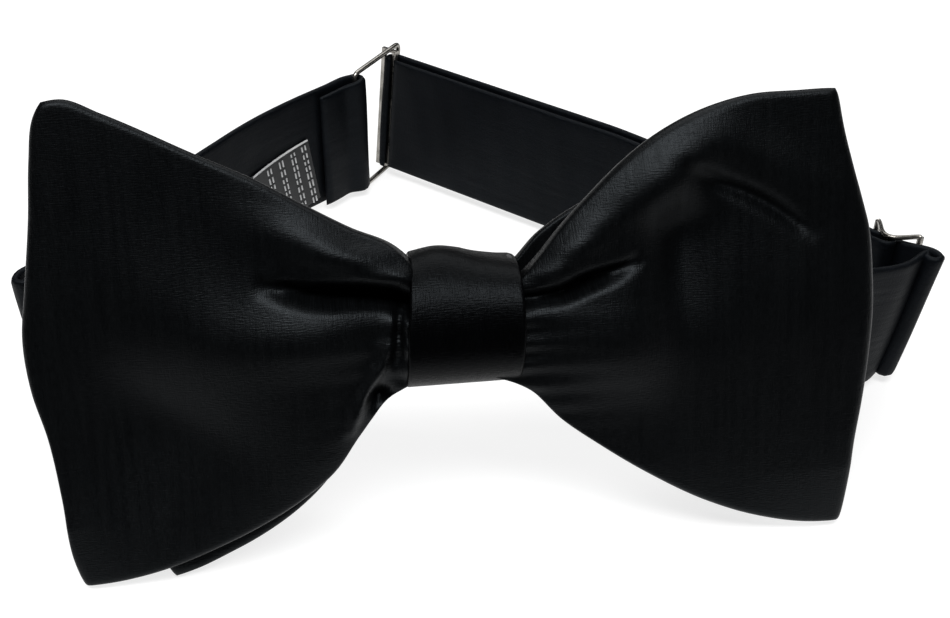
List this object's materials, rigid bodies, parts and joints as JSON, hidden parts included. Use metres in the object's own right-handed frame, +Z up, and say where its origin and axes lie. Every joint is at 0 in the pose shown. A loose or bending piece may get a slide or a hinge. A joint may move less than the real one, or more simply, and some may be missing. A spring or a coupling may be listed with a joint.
{
  "type": "pre-tied bow tie",
  "caption": "Black satin pre-tied bow tie, gathered by a wrapped knot, on a folded neckband with a slider that adjusts it and a metal hook and eye that close it.",
  "frame": {"origin": "bottom centre of the whole object, on the table it rests on", "axes": "+X to the viewer's right along the bow, +Y away from the viewer towards the hook and eye, +Z up"},
  "size_m": [0.1512, 0.123, 0.0646],
  "materials": {
    "black_satin": "satin",
    "interlining": "matte",
    "black_thread": "matte",
    "label_cloth": "satin",
    "label_thread": "matte",
    "steel": "polished"
  },
  "bodies": {
    "bow": {"front_bow": "black_satin", "front_bow_interlining": "interlining", "back_bow": "black_satin", "back_bow_interlining": "interlining", "neckband_front": "black_satin", "neckband_front_interlining": "interlining", "knot_wrap": "black_satin", "knot_lining": "interlining", "gathering_thread": "black_thread", "knot_back_stitches": "black_thread"},
    "left_strap": {"left_strap": "black_satin", "left_strap_interlining": "interlining", "left_strap_bartack": "black_thread", "care_label": "label_cloth", "care_label_stitches": "label_thread"},
    "eye": {"eye": "steel"},
    "right_strap": {"right_strap": "black_satin", "right_strap_interlining": "interlining", "return_run": "black_satin"},
    "hook": {"hook": "steel"},
    "slider": {"slider": "steel", "strap_end_wrap": "black_satin", "strap_end_stitches": "black_thread"}
  },
  "joints": [
    {"name": "left_strap_swing", "type": "hinge", "parent": "bow", "child": "left_strap", "pos_m": [-0.07325, -0.01434, 0.01337], "axis": [0, 0, 1], "range_deg": [0, 80]},
    {"name": "right_strap_swing", "type": "hinge", "parent": "bow", "child": "right_strap", "pos_m": [0.07325, -0.02584, 0.01337], "axis": [0, 0, -1], "range_deg": [0, 80]},
    {"name": "eye_pivot", "type": "hinge", "parent": "left_strap", "child": "eye", "pos_m": [-0.01636, 0.04775, 0.01337], "axis": [0, 0, 1], "range_deg": [-10, 1]},
    {"name": "hook_pivot", "type": "hinge", "parent": "right_strap", "child": "hook", "pos_m": [-0.00872, 0.05648, 0.01416], "axis": [0.091, 0.0811, 0.9925], "range_deg": [-3, 3]},
    {"name": "slider_slide", "type": "slide", "parent": "right_strap", "child": "slider", "axis": [-0.6652, 0.7466, 0], "range_m": [0, 0.048], "deforming": ["return_run"]}
  ]
}
